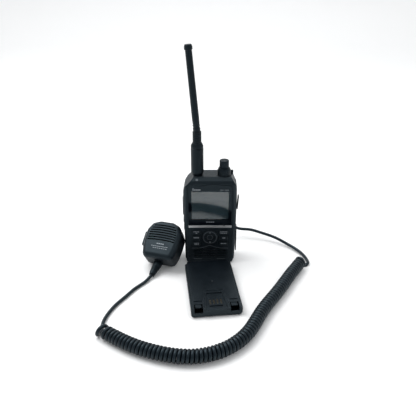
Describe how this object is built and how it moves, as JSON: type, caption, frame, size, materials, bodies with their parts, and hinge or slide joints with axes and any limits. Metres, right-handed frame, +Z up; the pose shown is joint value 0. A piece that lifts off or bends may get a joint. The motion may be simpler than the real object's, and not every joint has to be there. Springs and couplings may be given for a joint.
{
  "type": "handheld transceiver",
  "caption": "Handheld radio with whip antenna, twin top knobs, display, direction pad, rear battery, corded speaker microphone and a spare battery pack.",
  "frame": {"origin": "middle of the radio's foot, on the table plane", "axes": "+Z up along the radio and its antenna; +X to the right seen from the display; +Y towards the radio's back"},
  "size_m": [0.22, 0.2252, 0.2436],
  "materials": {
    "case_plastic": "fine moulded grain",
    "cast_frame": "satin black paint over a casting",
    "pack_plastic": "fine moulded grain",
    "gloss_black": "polished",
    "lens": "polished hard coat",
    "display": "satin polariser",
    "trim": "bright",
    "key_rubber": "matt",
    "soft_rubber": "matt",
    "cord_jacket": "satin",
    "screw_steel": "blackened",
    "bare_steel": "pressed",
    "contact_metal": "gold plated",
    "board": "solder mask",
    "cell_wrap": "film",
    "light_pipe": "frosted",
    "mic_plastic": "moulded grain"
  },
  "bodies": {
    "radio": {"front_case": "case_plastic", "rear_chassis": "cast_frame", "top_panel": "case_plastic", "case_seal": "soft_rubber", "case_screws": "screw_steel", "display_window": "lens", "lcd_panel": "display", "trim_bar": "trim", "status_lens": "light_pipe", "keypad_mat": "key_rubber", "main_board": "board", "rf_shield": "bare_steel", "radio_speaker": "bare_steel", "radio_microphone": "gloss_black", "supply_contacts": "contact_metal", "jack_block": "gloss_black", "encoder_body": "bare_steel", "antenna_connector": "contact_metal", "plug_body": "soft_rubber", "cord_radio_lead": "cord_jacket", "cord_coil": "cord_jacket", "cord_mic_lead": "cord_jacket"},
    "volume": {"volume_ring": "soft_rubber"},
    "dial": {"dial_knob": "soft_rubber"},
    "key_left_upper": {"key_left_upper": "key_rubber"},
    "key_left_middle": {"key_left_middle": "key_rubber"},
    "key_left_lower": {"key_left_lower": "key_rubber"},
    "key_right_upper": {"key_right_upper": "key_rubber"},
    "key_right_middle": {"key_right_middle": "key_rubber"},
    "key_right_lower": {"key_right_lower": "key_rubber"},
    "enter": {"enter_key": "key_rubber"},
    "dpad_tilt": {"dpad_cradle": "gloss_black"},
    "dpad": {"dpad_ring": "key_rubber"},
    "talk": {"talk_key": "key_rubber"},
    "squelch": {"squelch_key": "key_rubber"},
    "light": {"light_key": "key_rubber"},
    "upper_cover": {"upper_jack_cover": "soft_rubber"},
    "lower_cover": {"lower_jack_cover": "soft_rubber"},
    "antenna_base": {"antenna_sleeve": "soft_rubber", "antenna_neck": "soft_rubber"},
    "antenna_top": {"antenna_whip": "soft_rubber"},
    "battery": {"battery_shell": "pack_plastic", "battery_lid": "pack_plastic", "battery_cells": "cell_wrap", "battery_terminals": "contact_metal"},
    "latch": {"battery_latch": "pack_plastic"},
    "mic": {"mic_front_shell": "mic_plastic", "mic_rear_shell": "mic_plastic", "mic_screws": "screw_steel", "mic_board": "board", "mic_speaker": "gloss_black", "mic_capsule": "gloss_black", "mic_clip_post": "screw_steel", "mic_boot": "soft_rubber"},
    "mic_talk": {"mic_talk_bar": "mic_plastic"},
    "mic_swivel": {"mic_clip": "mic_plastic"},
    "spare_pack": {"spare_shell": "pack_plastic", "spare_lid": "pack_plastic", "spare_cells": "cell_wrap", "spare_terminals": "contact_metal"}
  },
  "joints": [
    {"name": "volume_turn", "type": "hinge", "parent": "radio", "child": "volume", "pos_m": [0.0152, 0.0057, 0.111], "axis": [0, 0, 1], "continuous": true},
    {"name": "dial_turn", "type": "hinge", "parent": "radio", "child": "dial", "pos_m": [0.0152, 0.0057, 0.118], "axis": [0, 0, 1], "continuous": true},
    {"name": "key_left_upper_press", "type": "slide", "parent": "radio", "child": "key_left_upper", "axis": [0, 1, 0], "range_m": [0, 0.0005], "stiffness_N_per_m": 900},
    {"name": "key_left_middle_press", "type": "slide", "parent": "radio", "child": "key_left_middle", "axis": [0, 1, 0], "range_m": [0, 0.0005], "stiffness_N_per_m": 900},
    {"name": "key_left_lower_press", "type": "slide", "parent": "radio", "child": "key_left_lower", "axis": [0, 1, 0], "range_m": [0, 0.0005], "stiffness_N_per_m": 900},
    {"name": "key_right_upper_press", "type": "slide", "parent": "radio", "child": "key_right_upper", "axis": [0, 1, 0], "range_m": [0, 0.0005], "stiffness_N_per_m": 900},
    {"name": "key_right_middle_press", "type": "slide", "parent": "radio", "child": "key_right_middle", "axis": [0, 1, 0], "range_m": [0, 0.0005], "stiffness_N_per_m": 900},
    {"name": "key_right_lower_press", "type": "slide", "parent": "radio", "child": "key_right_lower", "axis": [0, 1, 0], "range_m": [0, 0.0005], "stiffness_N_per_m": 900},
    {"name": "enter_press", "type": "slide", "parent": "radio", "child": "enter", "axis": [0, 1, 0], "range_m": [0, 0.0005], "stiffness_N_per_m": 900},
    {"name": "dpad_sideways", "type": "hinge", "parent": "radio", "child": "dpad_tilt", "pos_m": [0, -0.0056, 0.0345], "axis": [0, 0, 1], "range_deg": [-2, 2], "stiffness_Nm_per_rad": 0.2},
    {"name": "dpad_updown", "type": "hinge", "parent": "dpad_tilt", "child": "dpad", "pos_m": [0, -0.0056, 0.0345], "axis": [1, 0, 0], "range_deg": [-2, 2], "stiffness_Nm_per_rad": 0.2},
    {"name": "talk_press", "type": "slide", "parent": "radio", "child": "talk", "axis": [1, 0, 0], "range_m": [0, 0.001], "stiffness_N_per_m": 900},
    {"name": "squelch_press", "type": "slide", "parent": "radio", "child": "squelch", "axis": [1, 0, 0], "range_m": [0, 0.0007], "stiffness_N_per_m": 900},
    {"name": "light_press", "type": "slide", "parent": "radio", "child": "light", "axis": [1, 0, 0], "range_m": [0, 0.0007], "stiffness_N_per_m": 900},
    {"name": "upper_cover_open", "type": "hinge", "parent": "radio", "child": "upper_cover", "pos_m": [0.02962, -0.0005, 0.0678], "axis": [0, 1, 0], "range_deg": [-4, 85]},
    {"name": "lower_cover_open", "type": "hinge", "parent": "radio", "child": "lower_cover", "pos_m": [0.02886, -0.0005, 0.0146], "axis": [0, 1, 0], "range_deg": [0, 90]},
    {"name": "antenna_turn", "type": "hinge", "parent": "radio", "child": "antenna_base", "pos_m": [-0.0137, 0.0062, 0.12], "axis": [0, 0, 1], "continuous": true},
    {"name": "antenna_flex", "type": "hinge", "parent": "antenna_base", "child": "antenna_top", "pos_m": [-0.0137, 0.0062, 0.1474], "axis": [0, 1, 0], "range_deg": [-35, 35], "stiffness_Nm_per_rad": 0.5, "deforming": ["antenna_neck"]},
    {"name": "battery_swing", "type": "hinge", "parent": "radio", "child": "battery", "pos_m": [0, 0.0092, 0.001], "axis": [-1, 0, 0], "range_deg": [0, 14]},
    {"name": "latch_slide", "type": "slide", "parent": "radio", "child": "latch", "axis": [0, 0, 1], "range_m": [0, 0.0025], "stiffness_N_per_m": 600},
    {"name": "mic_lift", "type": "slide", "parent": "radio", "child": "mic", "axis": [-0.1961, 0, 0.9806], "range_m": [0, 0.04], "deforming": ["cord_mic_lead"]},
    {"name": "mic_talk_press", "type": "slide", "parent": "mic", "child": "mic_talk", "axis": [0.9563, -0.2924, 0], "range_m": [0, 0.0008], "stiffness_N_per_m": 900},
    {"name": "mic_clip_swivel", "type": "hinge", "parent": "mic", "child": "mic_swivel", "pos_m": [-0.04699, 0.0125, 0.01672], "axis": [0.1677, 0.5485, -0.8192], "range_deg": [-90, 90]},
    {"name": "spare_lift", "type": "slide", "parent": "radio", "child": "spare_pack", "axis": [0, 0, 1], "range_m": [0, 0.05]}
  ]
}
